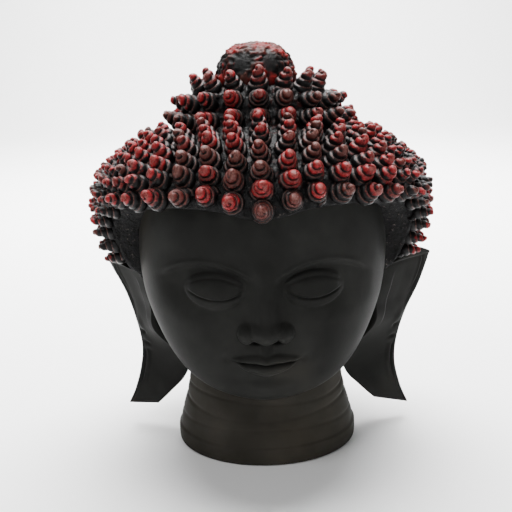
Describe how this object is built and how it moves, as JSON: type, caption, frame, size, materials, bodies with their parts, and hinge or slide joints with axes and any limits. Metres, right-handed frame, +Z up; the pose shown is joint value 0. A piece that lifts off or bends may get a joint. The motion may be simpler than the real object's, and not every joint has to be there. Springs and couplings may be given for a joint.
{
  "type": "buddha head statue",
  "caption": "Cast statue head with lowered eyes, long ears, a cap of snail-shell curls and a topknot, standing on the flat foot of its neck.",
  "frame": {"origin": "middle of the neck's flat underside, where the head stands", "axes": "+Z up through the topknot, -Y the way the face looks, +X towards the ear on the viewer's right"},
  "size_m": [0.2631, 0.2398, 0.3],
  "materials": {
    "black_resin": "matte charcoal black with a soft sheen, cast resin",
    "red_brushing": "red paint dry-brushed on the tips of the curls, over the black"
  },
  "bodies": {
    "root": {"statue_head": "black_resin"}
  },
  "joints": []
}
